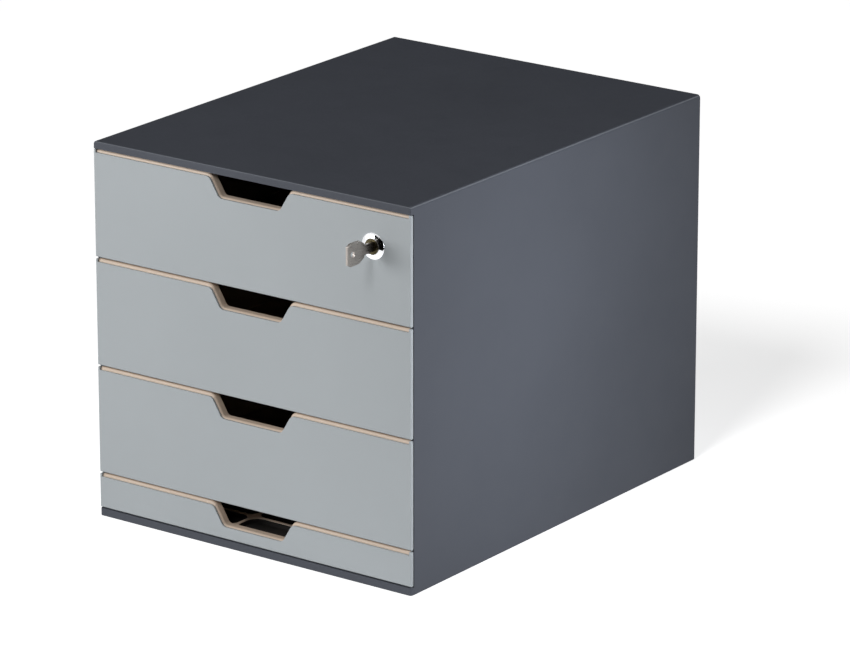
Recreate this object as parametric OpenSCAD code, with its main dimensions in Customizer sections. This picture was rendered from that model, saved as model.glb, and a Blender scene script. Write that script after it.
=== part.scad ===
// Desktop drawer box for coffee supplies: a moulded case with three tall drawers, one low drawer and a lock.
// The origin is on the floor under the middle of the case, +Y points to the back and +Z up. Sizes are in mm.

/* [Case] */
// Width of the case
case_w = 280; // [250:1:340]
// Depth of the case, from the faces of the drawer fronts to the rear edge
case_d = 356; // [330:1:420]
// Height of the lid's front edge
lid_edge_h = 5.5; // [4.5:0.1:9]
// Height of the base's front edge
base_edge_h = 5.6; // [4.5:0.1:9]
// Thickness of the hood's side walls
wall_t = 3; // [2.6:0.1:4]
// Thickness of the hood's top
top_t = 3.2; // [2.8:0.1:4]
// Thickness of the base panel
base_t = 3.2; // [2.8:0.1:4]
// Radius of the hood's long top edges
edge_r = 2.5; // [1:0.1:2.8]
// How far the side walls stand back behind the faces of the fronts
wall_setback = 3.4; // [3:0.1:5]
// Thickness of the back panel
back_t = 2.5; // [2:0.1:4]
// How far the back panel is set into the case
back_inset = 2.4; // [2:0.1:6]
// Height of the rear flanges that the back panel is screwed to
rear_flange_h = 12; // [10:0.5:16]
// Thickness of the rear flanges
rear_flange_t = 3; // [2:0.1:4]

/* [Foot pads] */
// Diameter of a foot pad
foot_d = 14; // [8:0.5:20]
// Thickness of a foot pad
foot_t = 1.8; // [1.2:0.1:2.4]
// How far a foot pad stands out under the base
foot_proud = 0.6; // [0.3:0.1:1.2]
// Distance of the foot pads from the sides of the case
foot_from_side = 24; // [18:1:40]
// Distance of the foot pads from the front and the rear of the case
foot_from_end = 22; // [16:1:40]

/* [Drawer bays] */
// Height of a tall drawer's bay
tall_bay_h = 81.3; // [70:0.1:110]
// Height of the low drawer's bay
low_bay_h = 27.1; // [26.5:0.1:40]

/* [Drawer fronts] */
// Thickness of a drawer front
front_t = 1.5; // [1.4:0.1:2.6]
// Radius of a drawer front's upright outer edges
front_r = 1.2; // [0.5:0.1:1.3]
// Gap under a drawer front, above its bay's lower limit
front_gap_low = 0.8; // [0.5:0.1:2]
// Gap over a drawer front, below its bay's upper limit
front_gap_high = 2.9; // [2.4:0.1:4]
// Diameter of the screw bosses behind a drawer front
boss_d = 6.4; // [5:0.1:8]
// Distance of the screw bosses from the notch, sideways
boss_from_notch = 35; // [20:1:45]
// Distance of the low front's outer bosses from the sides of the case
boss_from_side = 28; // [20:1:34]
// Height of the lower bosses above a front's lower edge
boss_rise = 11; // [9:0.5:13]
// Height of a tall front's upper bosses above its lower ones
boss_spacing = 38; // [20:1:44]

/* [Finger notch] */
// Width of the notch at a front's top edge
notch_top_w = 70.6; // [60:0.2:100]
// Width of the notch at its flat bottom
notch_low_w = 53.2; // [40:0.2:58]
// Depth of the notch
notch_depth = 14.4; // [11:0.1:15]
// Radius of the notch's corners
notch_r = 4.5; // [3:0.1:5]

/* [Drawer trays] */
// Thickness of a tray's side and back walls
tray_t = 1.8; // [1.4:0.1:3]
// Thickness of a tray's floor
floor_t = 1.8; // [1.4:0.1:3]
// Radius of a tray's rear corners
tray_r = 3.5; // [3.2:0.1:8]
// Depth of the rim that frames a tray's front wall
rim_depth = 6; // [5:0.1:8]
// Thickness of that rim
rim_t = 2; // [1.5:0.1:2.5]
// How far the rim stands over its front's top edge and into the notch
rim_proud = 1; // [0.5:0.1:1.5]
// Thickness of the wall behind the rim
front_wall_t = 2; // [1.6:0.1:3]
// How far the front wall ends above its front's lower edge
front_wall_raise = 0.3; // [0:0.1:1]
// Gap under a tray, above its bay's lower limit
tray_gap_low = 1.5; // [1:0.1:3]
// Gap between a tray and the back panel
tray_gap_back = 6; // [5:0.5:12]
// Thickness of a tray's side flanges
flange_t = 2; // [1.6:0.1:3]
// Drop of the flanges' top below their bay's upper limit
flange_drop = 8; // [6.5:0.1:9]
// Length of the stop lug at the rear of a flange
lug_l = 8; // [5:0.5:14]
// Reach of the stop lug beyond its flange
lug_w = 1.6; // [1.2:0.1:1.8]
// How far a drawer opens
drawer_travel = 270; // [180:1:280]

/* [Low drawer's insert] */
// Height of the insert
insert_h = 5.2; // [5:0.1:8]
// Thickness of the insert's floor
insert_floor_t = 1; // [0.8:0.1:2]
// Thickness of the insert's ribs
insert_rib_t = 2.4; // [1.6:0.1:4]
// Length of the insert's front compartments, front to back
insert_front_l = 23; // [18:0.5:60]
// Place of the rib between the left and right compartments, from the middle
insert_rib_x = -25; // [-60:1:60]
// Radius of the compartments' corners
insert_r = 8; // [4:0.5:9]

/* [Runner racks] */
// Thickness of a runner rack's plate
rack_t = 3; // [2.8:0.1:4]
// Width of the ledges and kickers
ledge_w = 3.6; // [3:0.1:6]
// Thickness of the ledges and kickers
ledge_t = 2.2; // [1.6:0.1:3]
// Diameter of the bosses that the base is screwed to
rack_boss_d = 5.6; // [5:0.1:6.4]
// Height of those bosses
rack_boss_h = 9; // [7:0.5:10]
// Distance of the bosses and the rack's screws from the front and the rear of the case
rack_fix_from_end = 58; // [40:1:80]
// Height of the rack's screws above their bay's lower limit
rack_screw_rise = 36; // [20:1:50]

/* [Screws] */
// Diameter of the screws' shanks
screw_d = 2.6; // [2:0.1:3]
// Diameter of the screws' heads
screw_head_d = 5.2; // [4.4:0.1:6]
// Height of the screws' heads
screw_head_h = 1.5; // [1:0.1:1.8]
// Width of the cross slot in a head
screw_slot_w = 0.8; // [0.5:0.1:1]
// Depth of the cross slot
screw_slot_depth = 0.8; // [0.4:0.1:1]
// Distance of the outer back panel screws from the sides of the case
back_screw_from_side = 40; // [30:1:60]

/* [Lock] */
// Distance of the lock's axis from the right side of the case
lock_from_side = 32.2; // [30:0.1:50]
// Drop of the lock's axis below the top bay's upper limit
lock_drop = 27.6; // [26:0.1:36]
// Diameter of the lock's bezel
bezel_d = 19.6; // [18:0.1:24]
// Diameter of the bezel's flat face
bezel_face_d = 14; // [13:0.1:16]
// Height of the bezel in front of the drawer front
bezel_h = 2; // [1:0.1:3]
// Height of the bezel's outer rim
bezel_rim_h = 0.7; // [0.3:0.1:0.9]
// Diameter of the barrel behind the bezel
barrel_d = 15.6; // [14:0.1:17]
// Length of the barrel behind the face of the drawer front
barrel_l = 20; // [18:0.5:26]
// Thickness of the barrel's rear wall
barrel_rear_t = 3; // [2:0.1:4]
// Diameter of the turning plug
plug_d = 11.2; // [10.4:0.1:11.6]
// How far the plug's face lies behind the bezel's face
plug_recess = 0.5; // [0.2:0.1:1]
// Diameter of the plug's neck
neck_d = 8; // [7.4:0.1:9]
// Width of the square on the neck that drives the cam
square_w = 5.2; // [4:0.1:5.2]
// Width of the lock nut across its flats
nut_w = 21; // [20:0.1:23]
// Height of the lock nut
nut_h = 4; // [2:0.1:6]
// Length of the cam from the lock's axis to its tip
cam_l = 24; // [22:0.1:25]
// Width of the cam
cam_w = 10; // [9:0.1:12]
// Thickness of the cam
cam_t = 2; // [1.5:0.1:3]
// Width of the strike
strike_w = 24; // [14:0.5:26]
// Thickness of the strike's plate
strike_t = 1.6; // [1:0.1:2.4]
// Length of the strike's flange under the top
strike_flange_l = 13; // [11:0.5:16]
// Overlap of the locked cam behind the strike
strike_bite = 5; // [3:0.1:6]

/* [Key] */
// Thickness of the key
key_t = 1.8; // [1.4:0.1:2.2]
// Distance of the key's outer end in front of the drawer fronts
key_reach = 30; // [28:0.5:40]
// Length of the key's bow
bow_l = 19; // [16:0.5:22]
// Height of the bow
bow_h = 16.6; // [14:0.2:20]
// Height of the bow's outer edge
bow_edge_h = 12.8; // [9:0.2:13]
// Length of the slope from the outer edge to the bow's full height
bow_edge_l = 3.6; // [2:0.1:5]
// Height of the bow's shoulder at the blade
shoulder_h = 10; // [9:0.2:12]
// Length of the slope from the bow's full height to its shoulder
shoulder_l = 6; // [3:0.1:8]
// Diameter of the hole for a key ring
ring_hole_d = 4.2; // [3:0.1:5]
// Distance of that hole from the key's outer end
ring_hole_in = 5.7; // [5:0.1:8]
// Height of the blade
blade_h = 7; // [6:0.1:7.6]
// How far the blade reaches behind the face of the drawer front
blade_in = 13; // [11:0.1:14]
// Depth of the deepest cut in the blade
blade_cut = 1.6; // [0.8:0.1:2]
// Spacing of the cuts in the blade
cut_pitch = 2.6; // [2.2:0.1:3]

/* [Clearances] */
// Between a flange and the ledge under it
slide_gap = 0.2; // [0.1:0.05:0.5]
// Between a flange and the kicker over it
kick_gap = 0.4; // [0.2:0.05:0.8]
// Sideways, between a drawer and what it runs between
side_gap = 0.5; // [0.3:0.05:0.8]
// Between a closed drawer's front wall and the runner racks
closed_gap = 0.3; // [0.2:0.05:0.8]
// Between a stop lug and its stop at the end of the travel
stop_gap = 0.3; // [0.1:0.05:0.8]
// Around a panel, or a piece that lies loose in another
fit_gap = 0.2; // [0.1:0.05:0.5]
// Around the turning plug
plug_gap = 0.05; // [0.02:0.01:0.1]
// Around the key's blade in the plug
key_gap = 0.25; // [0.15:0.05:0.4]
// Around a screw in its hole
screw_gap = 0.05; // [0.02:0.01:0.2]
// Between the locked cam and the strike in front of it
strike_gap = 1.6; // [0.5:0.1:2.5]

/* [Hidden] */
$fn = 64;

// Drawers are numbered from the top, and the last one is the low one
tall_drawers = 3;
low_drawer = tall_drawers + 1;
drawers = [1:low_drawer];

// Overlap that lets a cut pass a face, or two shapes of one piece merge
cut = 0.5;
// Points along a rounded corner of the notch
arc_steps = 10;

anthracite = [0.22, 0.23, 0.26];
soft_grey = [0.66, 0.68, 0.69];
sand = [0.80, 0.66, 0.53];
steel = [0.62, 0.60, 0.57];
chrome = [0.82, 0.83, 0.85];
brass = [0.62, 0.52, 0.33];
rubber = [0.08, 0.08, 0.08];

// Heights of the case
case_low = foot_proud;
case_h = base_edge_h + low_bay_h + tall_drawers * tall_bay_h + lid_edge_h;
case_high = case_low + case_h;
base_top = case_low + base_t;
top_under = case_high - top_t;

// Limits of a drawer's bay
function bay_rise(n) = n == low_drawer ? 0 : low_bay_h + (tall_drawers - n) * tall_bay_h;
function bay_low(n) = case_low + base_edge_h + bay_rise(n);
function bay_high(n) = bay_low(n) + (n == low_drawer ? low_bay_h : tall_bay_h);

// Depths, from the front to the back
y_front = -case_d / 2;
y_back = case_d / 2;
y_rim = y_front + front_t;
y_wall = y_rim + rim_depth;
y_pocket = y_wall - front_wall_t;
y_rack = y_wall + closed_gap;
y_panel = y_back - back_inset - back_t;
y_tray = y_panel - tray_gap_back;
y_lug = y_tray - tray_r - lug_l;
y_stop = y_lug - drawer_travel - stop_gap;
y_barrel = y_front + barrel_l;
y_cam = y_barrel + closed_gap;
y_strike = y_cam - strike_gap - strike_t;

// Half widths, from the case inwards
half_case = case_w / 2;
half_wall = half_case - wall_t;
half_front_wall = half_wall - side_gap;
half_rack = half_wall - rack_t;
half_ledge = half_rack - ledge_w;
half_flange = half_rack - side_gap;
half_lug = half_flange + lug_w;
half_groove = half_lug + side_gap;
half_tray = half_ledge - side_gap;
half_tray_in = half_tray - tray_t;
half_rear_flange = half_ledge - side_gap;

// Heights of a drawer's pieces
function front_low(n) = bay_low(n) + front_gap_low;
function front_high(n) = bay_high(n) - front_gap_high;
function front_wall_low(n) = front_low(n) + front_wall_raise;
function tray_low(n) = bay_low(n) + tray_gap_low;
function tray_floor(n) = tray_low(n) + floor_t;
function flange_high(n) = bay_high(n) - flange_drop;
function flange_low(n) = flange_high(n) - flange_t;
function ledge_high(n) = flange_low(n) - slide_gap;
function kicker_low(n) = flange_high(n) + kick_gap;

// Places of the lock and of the screws
lock_x = half_case - lock_from_side;
lock_z = bay_high(1) - lock_drop;
strike_low = lock_z + cam_l - strike_bite;
strike_screw_y = y_strike + strike_t + (strike_flange_l - strike_t) / 2;
strike_screw_x = strike_w / 2 - screw_head_d;
boss_x = notch_top_w / 2 + boss_from_notch;
boss_outer_x = half_case - boss_from_side;
function boss_places(n) =
    n == low_drawer
    ? [for (x = [-boss_outer_x, -boss_x, boss_x, boss_outer_x]) [x, front_low(n) + boss_rise]]
    : [for (x = [-boss_x, boss_x], z = [0, boss_spacing]) [x, front_low(n) + boss_rise + z]];
rack_boss_x = half_ledge + rack_boss_d / 2;
rack_fix_y = y_back - rack_fix_from_end;
rack_screw_places = [
    for (n = [1, tall_drawers], y = [-rack_fix_y, rack_fix_y])
        [y, bay_low(n) + rack_screw_rise]
];
back_screw_x = half_case - back_screw_from_side;
back_screw_low = base_top + rear_flange_h / 2;
back_screw_high = top_under - rear_flange_h / 2;
back_screw_places = [
    for (x = [-back_screw_x, 0, back_screw_x], z = [back_screw_low, back_screw_high])
        [x, z]
];
foot_x = half_case - foot_from_side;
foot_y = y_back - foot_from_end;

// Depths of the screws' holes
blind_cover = 1;
wall_bite = wall_t - blind_cover;
top_bite = top_t - blind_cover;
rack_boss_bite = rack_boss_h - blind_cover;
boss_bite = y_pocket - y_rim;
cam_screw_bite = cam_t + closed_gap;
hole_r = screw_d / 2 + screw_gap;

// Slope of the notch's sides from upright
notch_slope = atan((notch_top_w - notch_low_w) / 2 / notch_depth);
notch_corner = notch_r * (1 - sin(notch_slope)) / cos(notch_slope);

// Points of an arc in a plane
function arc(x, z, r, from, to) =
    [for (i = [0:arc_steps]) let (a = from + (to - from) * i / arc_steps) [x + r * cos(a), z + r * sin(a)]];

// Right side of the notch below a top edge at height z, with its outline moved into the notch by grow
function notch_side(z, grow) = concat(
    arc(notch_top_w / 2 + notch_corner, z - notch_r, notch_r + grow, 90, 180 - notch_slope),
    arc(notch_low_w / 2 - notch_corner, z - notch_depth + notch_r, notch_r - grow, -notch_slope, -90)
);
function mirrored(points) = [for (i = [len(points) - 1:-1:0]) [-points[i][0], points[i][1]]];

// Outline of a front plate with its notch
function notched(half_w, low, z, grow) = concat(
    [[-half_w, low], [half_w, low], [half_w, z + grow]],
    notch_side(z, grow),
    mirrored(notch_side(z, grow)),
    [[-half_w, z + grow]]
);

// A shape drawn in X and Z, standing between two depths
module upright(y0, y1) {
    translate([0, y1, 0])
        rotate([90, 0, 0])
            linear_extrude(y1 - y0)
                children();
}

// A box between two corners
module block(from, to) {
    translate(from)
        cube(to - from);
}

// A pin along the depth
module deep_pin(x, z, y0, y1, r) {
    translate([x, y0, z])
        rotate([-90, 0, 0])
            cylinder(r = r, h = y1 - y0);
}

// A plan with two rounded rear corners
module rear_rounded(half_w, y0, y1, r) {
    translate([-half_w, y0])
        square([2 * half_w, y1 - r - y0]);
    translate([-half_w + r, y0])
        square([2 * (half_w - r), y1 - y0]);
    for (side = [-1, 1])
        translate([side * (half_w - r), y1 - r])
            circle(r);
}

// A rectangle with four rounded corners
module rounded_rect(x0, x1, y0, y1, r) {
    translate([x0 + r, y0])
        square([x1 - x0 - 2 * r, y1 - y0]);
    translate([x0, y0 + r])
        square([x1 - x0, y1 - y0 - 2 * r]);
    for (x = [x0 + r, x1 - r], y = [y0 + r, y1 - r])
        translate([x, y])
            circle(r);
}

// A pan-head screw, its head's seat at z = 0 and its shank along +Z
module screw(length) {
    difference() {
        union() {
            translate([0, 0, -screw_head_h])
                cylinder(d = screw_head_d, h = screw_head_h);
            translate([0, 0, -cut])
                cylinder(d = screw_d, h = length + cut);
        }
        for (turn = [0, 90])
            rotate([0, 0, turn])
                translate([-screw_head_d / 3, -screw_slot_w / 2, -screw_head_h - cut])
                    cube([screw_head_d * 2 / 3, screw_slot_w, screw_slot_depth + cut]);
    }
}

// The hood's outer section, with its two long top edges rounded
module hood_section() {
    translate([-half_case, case_low])
        square([case_w, case_h - edge_r]);
    translate([-half_case + edge_r, case_low])
        square([case_w - 2 * edge_r, case_h]);
    for (side = [-1, 1])
        translate([side * (half_case - edge_r), case_high - edge_r])
            circle(edge_r);
}

// Hood: the top and both side walls in one moulding
module case_hood() {
    color(anthracite)
        difference() {
            union() {
                difference() {
                    upright(y_front + wall_setback, y_back)
                        hood_section();
                    block([-half_wall, y_front, case_low - cut], [half_wall, y_back + cut, top_under]);
                }
                intersection() {
                    upright(y_front, y_front + wall_setback)
                        hood_section();
                    block(
                        [-case_w, y_front - cut, case_high - lid_edge_h],
                        [case_w, y_back, case_high + cut]
                    );
                }
                block(
                    [-half_rear_flange, y_panel - rear_flange_t, top_under - rear_flange_h],
                    [half_rear_flange, y_panel, top_under + cut]
                );
            }
            for (place = back_screw_places)
                deep_pin(place[0], place[1], y_panel - rear_flange_t - cut, y_panel + cut, hole_r);
            for (side = [-1, 1], place = rack_screw_places)
                translate([side * (half_wall - cut), place[0], place[1]])
                    rotate([0, side * 90, 0])
                        cylinder(r = hole_r, h = wall_bite + cut);
            for (side = [-1, 1])
                translate([lock_x + side * strike_screw_x, strike_screw_y, top_under - cut])
                    cylinder(r = hole_r, h = top_bite + cut);
        }
}

// Base: a flat panel between the side walls, with a raised front edge and a rear flange
module base_panel() {
    color(anthracite)
        difference() {
            union() {
                block(
                    [-half_wall + fit_gap, y_front + wall_setback - cut, case_low],
                    [half_wall - fit_gap, y_back - back_inset, base_top]
                );
                block(
                    [-half_case, y_front, case_low],
                    [half_case, y_front + wall_setback, case_low + base_edge_h]
                );
                block(
                    [-half_rear_flange, y_panel - rear_flange_t, case_low],
                    [half_rear_flange, y_panel, base_top + rear_flange_h]
                );
            }
            for (place = back_screw_places)
                deep_pin(place[0], place[1], y_panel - rear_flange_t - cut, y_panel + cut, hole_r);
            for (x = [-rack_boss_x, rack_boss_x], y = [-rack_fix_y, rack_fix_y])
                translate([x, y, case_low]) {
                    translate([0, 0, -cut])
                        cylinder(r = hole_r, h = base_t + 2 * cut);
                    translate([0, 0, -cut])
                        cylinder(d = screw_head_d + 2 * fit_gap, h = screw_head_h + fit_gap + cut);
                }
            for (x = [-foot_x, foot_x], y = [-foot_y, foot_y])
                translate([x, y, -cut])
                    cylinder(d = foot_d, h = foot_t + cut);
        }
}

// Back: a flat panel set into the hood, standing on the base
module back_panel() {
    color(anthracite)
        difference() {
            block(
                [-half_wall + fit_gap, y_panel, base_top],
                [half_wall - fit_gap, y_panel + back_t, top_under - fit_gap]
            );
            for (place = back_screw_places)
                deep_pin(place[0], place[1], y_panel - cut, y_panel + back_t + cut, hole_r);
        }
}

// Runner rack on the right: a plate with a ledge, a kicker and a stop groove for each drawer
module right_runner_rack() {
    color(anthracite)
        difference() {
            union() {
                block([half_rack, y_rack, base_top], [half_wall, y_panel, top_under]);
                for (n = drawers, low = [ledge_high(n) - ledge_t, kicker_low(n)])
                    block([half_ledge, y_rack, low], [half_rack + cut, y_panel, low + ledge_t]);
                for (y = [-rack_fix_y, rack_fix_y])
                    translate([rack_boss_x, y, base_top])
                        cylinder(d = rack_boss_d, h = rack_boss_h);
            }
            for (n = drawers)
                block([half_rack - cut, y_stop, ledge_high(n)], [half_groove, y_panel + cut, kicker_low(n)]);
            for (y = [-rack_fix_y, rack_fix_y])
                translate([rack_boss_x, y, base_top - cut])
                    cylinder(r = hole_r, h = rack_boss_bite + 2 * cut);
            for (place = rack_screw_places)
                translate([half_rack - cut, place[0], place[1]])
                    rotate([0, 90, 0])
                        cylinder(r = hole_r, h = rack_t + 2 * cut);
        }
}

// Runner rack on the left: the other one's mirror image
module left_runner_rack() {
    mirror([1, 0, 0])
        right_runner_rack();
}

// Screws that hold the racks to the side walls
module rack_screws() {
    color(steel)
        for (side = [0, 1], place = rack_screw_places)
            mirror([side, 0, 0])
                translate([half_rack, place[0], place[1]])
                    rotate([0, 90, 0])
                        screw(rack_t + wall_bite - fit_gap);
}

// Screws that hold the base under the racks, with their heads sunk in it
module base_screws() {
    color(steel)
        for (x = [-rack_boss_x, rack_boss_x], y = [-rack_fix_y, rack_fix_y])
            translate([x, y, case_low + screw_head_h + fit_gap])
                screw(base_t - screw_head_h - fit_gap + rack_boss_bite);
}

// Screws that hold the back to the rear flanges
module back_panel_screws() {
    color(steel)
        for (place = back_screw_places)
            translate([place[0], y_panel + back_t, place[1]])
                rotate([90, 0, 0])
                    screw(back_t + rear_flange_t);
}

// Foot pads, set into round recesses in the base
module foot_pads() {
    color(rubber)
        for (x = [-foot_x, foot_x], y = [-foot_y, foot_y])
            translate([x, y, 0])
                cylinder(d = foot_d - 2 * fit_gap, h = foot_t);
}

// Strike: an angle under the top, which the locked cam stands behind
module lock_strike() {
    color(steel)
        difference() {
            union() {
                block(
                    [lock_x - strike_w / 2, y_strike, strike_low],
                    [lock_x + strike_w / 2, y_strike + strike_t, top_under]
                );
                block(
                    [lock_x - strike_w / 2, y_strike, top_under - strike_t],
                    [lock_x + strike_w / 2, y_strike + strike_flange_l, top_under]
                );
            }
            for (side = [-1, 1])
                translate([lock_x + side * strike_screw_x, strike_screw_y, top_under - strike_t - cut])
                    cylinder(r = hole_r, h = strike_t + 2 * cut);
        }
}

// Screws that hold the strike under the top
module strike_screws() {
    color(steel)
        for (side = [-1, 1])
            translate([lock_x + side * strike_screw_x, strike_screw_y, top_under - strike_t])
                screw(strike_t + top_bite - fit_gap);
}

// Tray: the front wall with its rim and notch, the box behind it, the side flanges and the stop lugs
module drawer_tray(n) {
    color(sand)
        difference() {
            union() {
                difference() {
                    upright(y_rim, y_wall)
                        polygon(notched(half_front_wall, front_wall_low(n), front_high(n), rim_proud));
                    upright(y_rim - cut, y_pocket)
                        polygon(notched(
                            half_front_wall - rim_t,
                            front_wall_low(n) + rim_t,
                            front_high(n),
                            rim_proud - rim_t
                        ));
                }
                difference() {
                    translate([0, 0, tray_low(n)])
                        linear_extrude(flange_high(n) - tray_low(n))
                            rear_rounded(half_tray, y_wall - front_wall_t / 2, y_tray, tray_r);
                    translate([0, 0, tray_floor(n)])
                        linear_extrude(flange_high(n) - tray_floor(n) + cut)
                            rear_rounded(half_tray_in, y_pocket, y_tray - tray_t, tray_r - tray_t);
                }
                for (side = [0, 1])
                    mirror([side, 0, 0]) {
                        block(
                            [half_tray - tray_t / 2, y_wall - front_wall_t / 2, flange_low(n)],
                            [half_flange, y_tray - tray_r, flange_high(n)]
                        );
                        block(
                            [half_flange - cut, y_lug, flange_low(n)],
                            [half_lug, y_tray - tray_r, flange_high(n)]
                        );
                    }
            }
            for (place = boss_places(n))
                deep_pin(place[0], place[1], y_pocket - cut, y_wall + cut, hole_r);
            if (n == 1)
                deep_pin(lock_x, lock_z, y_pocket - cut, y_wall + cut, barrel_d / 2 + fit_gap);
        }
}

// Front: a thin notched plate with rounded upright edges and screw bosses behind it
module drawer_front(n) {
    color(soft_grey)
        difference() {
            union() {
                intersection() {
                    upright(y_front, y_rim)
                        polygon(notched(half_case, front_low(n), front_high(n), 0));
                    translate([0, 0, front_low(n) - cut])
                        linear_extrude(front_high(n) - front_low(n) + 2 * cut)
                            mirror([0, 1])
                                rear_rounded(half_case, -y_rim - cut, -y_front, front_r);
                }
                for (place = boss_places(n))
                    deep_pin(place[0], place[1], y_rim - cut, y_pocket, boss_d / 2);
            }
            for (place = boss_places(n))
                deep_pin(place[0], place[1], y_pocket - boss_bite, y_pocket + cut, hole_r);
            if (n == 1)
                deep_pin(lock_x, lock_z, y_front - cut, y_rim + cut, barrel_d / 2 + fit_gap);
        }
}

// Screws that hold a front on its tray, from inside
module front_screws(n) {
    color(steel)
        for (place = boss_places(n))
            translate([place[0], y_wall, place[1]])
                rotate([90, 0, 0])
                    screw(front_wall_t + boss_bite - fit_gap);
}

// Insert: a shallow moulding with four rounded compartments, lying on the low drawer's floor
module low_drawer_insert() {
    low = tray_floor(low_drawer);
    half_w = half_tray_in - fit_gap;
    y0 = y_wall + fit_gap;
    y1 = y_tray - tray_t - fit_gap;
    y_rib = y0 + insert_rib_t + insert_front_l;
    columns = [
        [-half_w + insert_rib_t, insert_rib_x - insert_rib_t / 2],
        [insert_rib_x + insert_rib_t / 2, half_w - insert_rib_t]
    ];
    rows = [[y0 + insert_rib_t, y_rib], [y_rib + insert_rib_t, y1 - insert_rib_t]];
    color(sand)
        difference() {
            translate([0, 0, low])
                linear_extrude(insert_h)
                    rear_rounded(half_w, y0, y1, tray_r - tray_t);
            for (column = columns, row = rows)
                translate([0, 0, low + insert_floor_t])
                    linear_extrude(insert_h)
                        rounded_rect(column[0], column[1], row[0], row[1], insert_r);
        }
}

// Places a shape made along +Z on the lock's axis, with z = 0 at the face of the drawer front
module on_lock_axis() {
    translate([lock_x, y_front, lock_z])
        rotate([-90, 0, 0])
            children();
}

// Lock body: the bezel and the barrel, bored for the plug and its neck
module lock_body() {
    bore_r = plug_d / 2 + plug_gap;
    neck_r = neck_d / 2 + plug_gap;
    color(chrome)
        on_lock_axis()
            rotate_extrude()
                polygon([
                    [bore_r, -bezel_h],
                    [bezel_face_d / 2, -bezel_h],
                    [bezel_d / 2, -bezel_rim_h],
                    [bezel_d / 2, 0],
                    [barrel_d / 2, 0],
                    [barrel_d / 2, barrel_l],
                    [neck_r, barrel_l],
                    [neck_r, barrel_l - barrel_rear_t],
                    [bore_r, barrel_l - barrel_rear_t]
                ]);
}

// Nut that clamps the lock in the top drawer, from inside
module lock_nut() {
    color(steel)
        difference() {
            deep_pin(lock_x, lock_z, y_wall, y_wall + nut_h, 0.5 * nut_w / cos(30), $fn = 6);
            deep_pin(lock_x, lock_z, y_wall - cut, y_wall + nut_h + cut, barrel_d / 2 + fit_gap, $fn = 64);
        }
}

// Plug: turns in the barrel, with the keyway in front and the cam's square behind
module lock_plug() {
    shoulder = barrel_l - barrel_rear_t - fit_gap;
    neck_end = barrel_l + closed_gap - fit_gap;
    square_end = barrel_l + closed_gap + cam_t;
    color(brass)
        on_lock_axis()
            difference() {
                union() {
                    translate([0, 0, plug_recess - bezel_h])
                        cylinder(d = plug_d, h = shoulder + bezel_h - plug_recess);
                    translate([0, 0, shoulder - cut])
                        cylinder(d = neck_d, h = neck_end - shoulder + cut);
                    translate([-square_w / 2, -square_w / 2, neck_end - cut])
                        cube([square_w, square_w, square_end - neck_end + cut]);
                }
                translate([-key_t / 2 - key_gap, -blade_h / 2 - key_gap, -bezel_h - cut])
                    cube([key_t + 2 * key_gap, blade_h + 2 * key_gap, blade_in + bezel_h + key_gap + cut]);
                translate([0, 0, square_end - cam_screw_bite])
                    cylinder(r = hole_r, h = cam_screw_bite + cut);
            }
}

// Cam: points sideways when the drawer is free, and up behind the strike when it is locked
module lock_cam() {
    color(steel)
        on_lock_axis()
            translate([0, 0, barrel_l + closed_gap])
                linear_extrude(cam_t)
                    difference() {
                        union() {
                            circle(d = cam_w);
                            translate([-cam_l + cam_w / 2, -cam_w / 2])
                                square([cam_l - cam_w / 2, cam_w]);
                            translate([-cam_l + cam_w / 2, 0])
                                circle(d = cam_w);
                        }
                        square(square_w + 2 * screw_gap, center = true);
                    }
}

// Screw that holds the cam on the plug
module cam_screw() {
    color(steel)
        on_lock_axis()
            translate([0, 0, barrel_l + closed_gap + cam_t])
                rotate([180, 0, 0])
                    screw(cam_screw_bite - fit_gap);
}

// Key: a flat stamping in an upright plane, with its blade in the plug
module key() {
    key_l = key_reach + blade_in;
    tip = blade_h / 4;
    upper = [
        [0, bow_edge_h / 2],
        [bow_edge_l, bow_h / 2],
        [bow_l - shoulder_l, bow_h / 2],
        [bow_l, shoulder_h / 2],
        [bow_l, blade_h / 2],
        [key_l - tip, blade_h / 2],
        [key_l, blade_h / 2 - tip]
    ];
    lower = [for (i = [len(upper) - 1:-1:0]) [upper[i][0], -upper[i][1]]];
    // Depths of the cuts from the tip on, as shares of the deepest one
    cuts = [1, 0.6, 0.9, 0.5];
    color(steel)
        translate([lock_x - key_t / 2, y_front - key_reach, lock_z])
            rotate([90, 0, 90])
                linear_extrude(key_t)
                    difference() {
                        polygon(concat(upper, lower));
                        translate([ring_hole_in, 0])
                            circle(d = ring_hole_d);
                        for (i = [0:len(cuts) - 1])
                            translate([key_l - tip - (i + 0.5) * cut_pitch, -blade_h / 2])
                                rotate(45)
                                    square(blade_cut * cuts[i] * sqrt(2), center = true);
                    }
}

case_hood();
base_panel();
back_panel();
left_runner_rack();
right_runner_rack();
rack_screws();
base_screws();
back_panel_screws();
foot_pads();
lock_strike();
strike_screws();
drawer_tray(1);  // drawer_tray_1
drawer_tray(2);  // drawer_tray_2
drawer_tray(3);  // drawer_tray_3
drawer_tray(4);  // drawer_tray_4
drawer_front(1);  // drawer_front_1
drawer_front(2);  // drawer_front_2
drawer_front(3);  // drawer_front_3
drawer_front(4);  // drawer_front_4
front_screws(1);  // front_screws_1
front_screws(2);  // front_screws_2
front_screws(3);  // front_screws_3
front_screws(4);  // front_screws_4
low_drawer_insert();
lock_body();
lock_nut();
lock_plug();
lock_cam();
cam_screw();
key();
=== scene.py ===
"""Looks of the desktop drawer box: moulded case, notched fronts, sand-coloured trays, cam lock and key."""

import math

import bmesh
import bpy
from mathutils import Matrix, Vector


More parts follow.
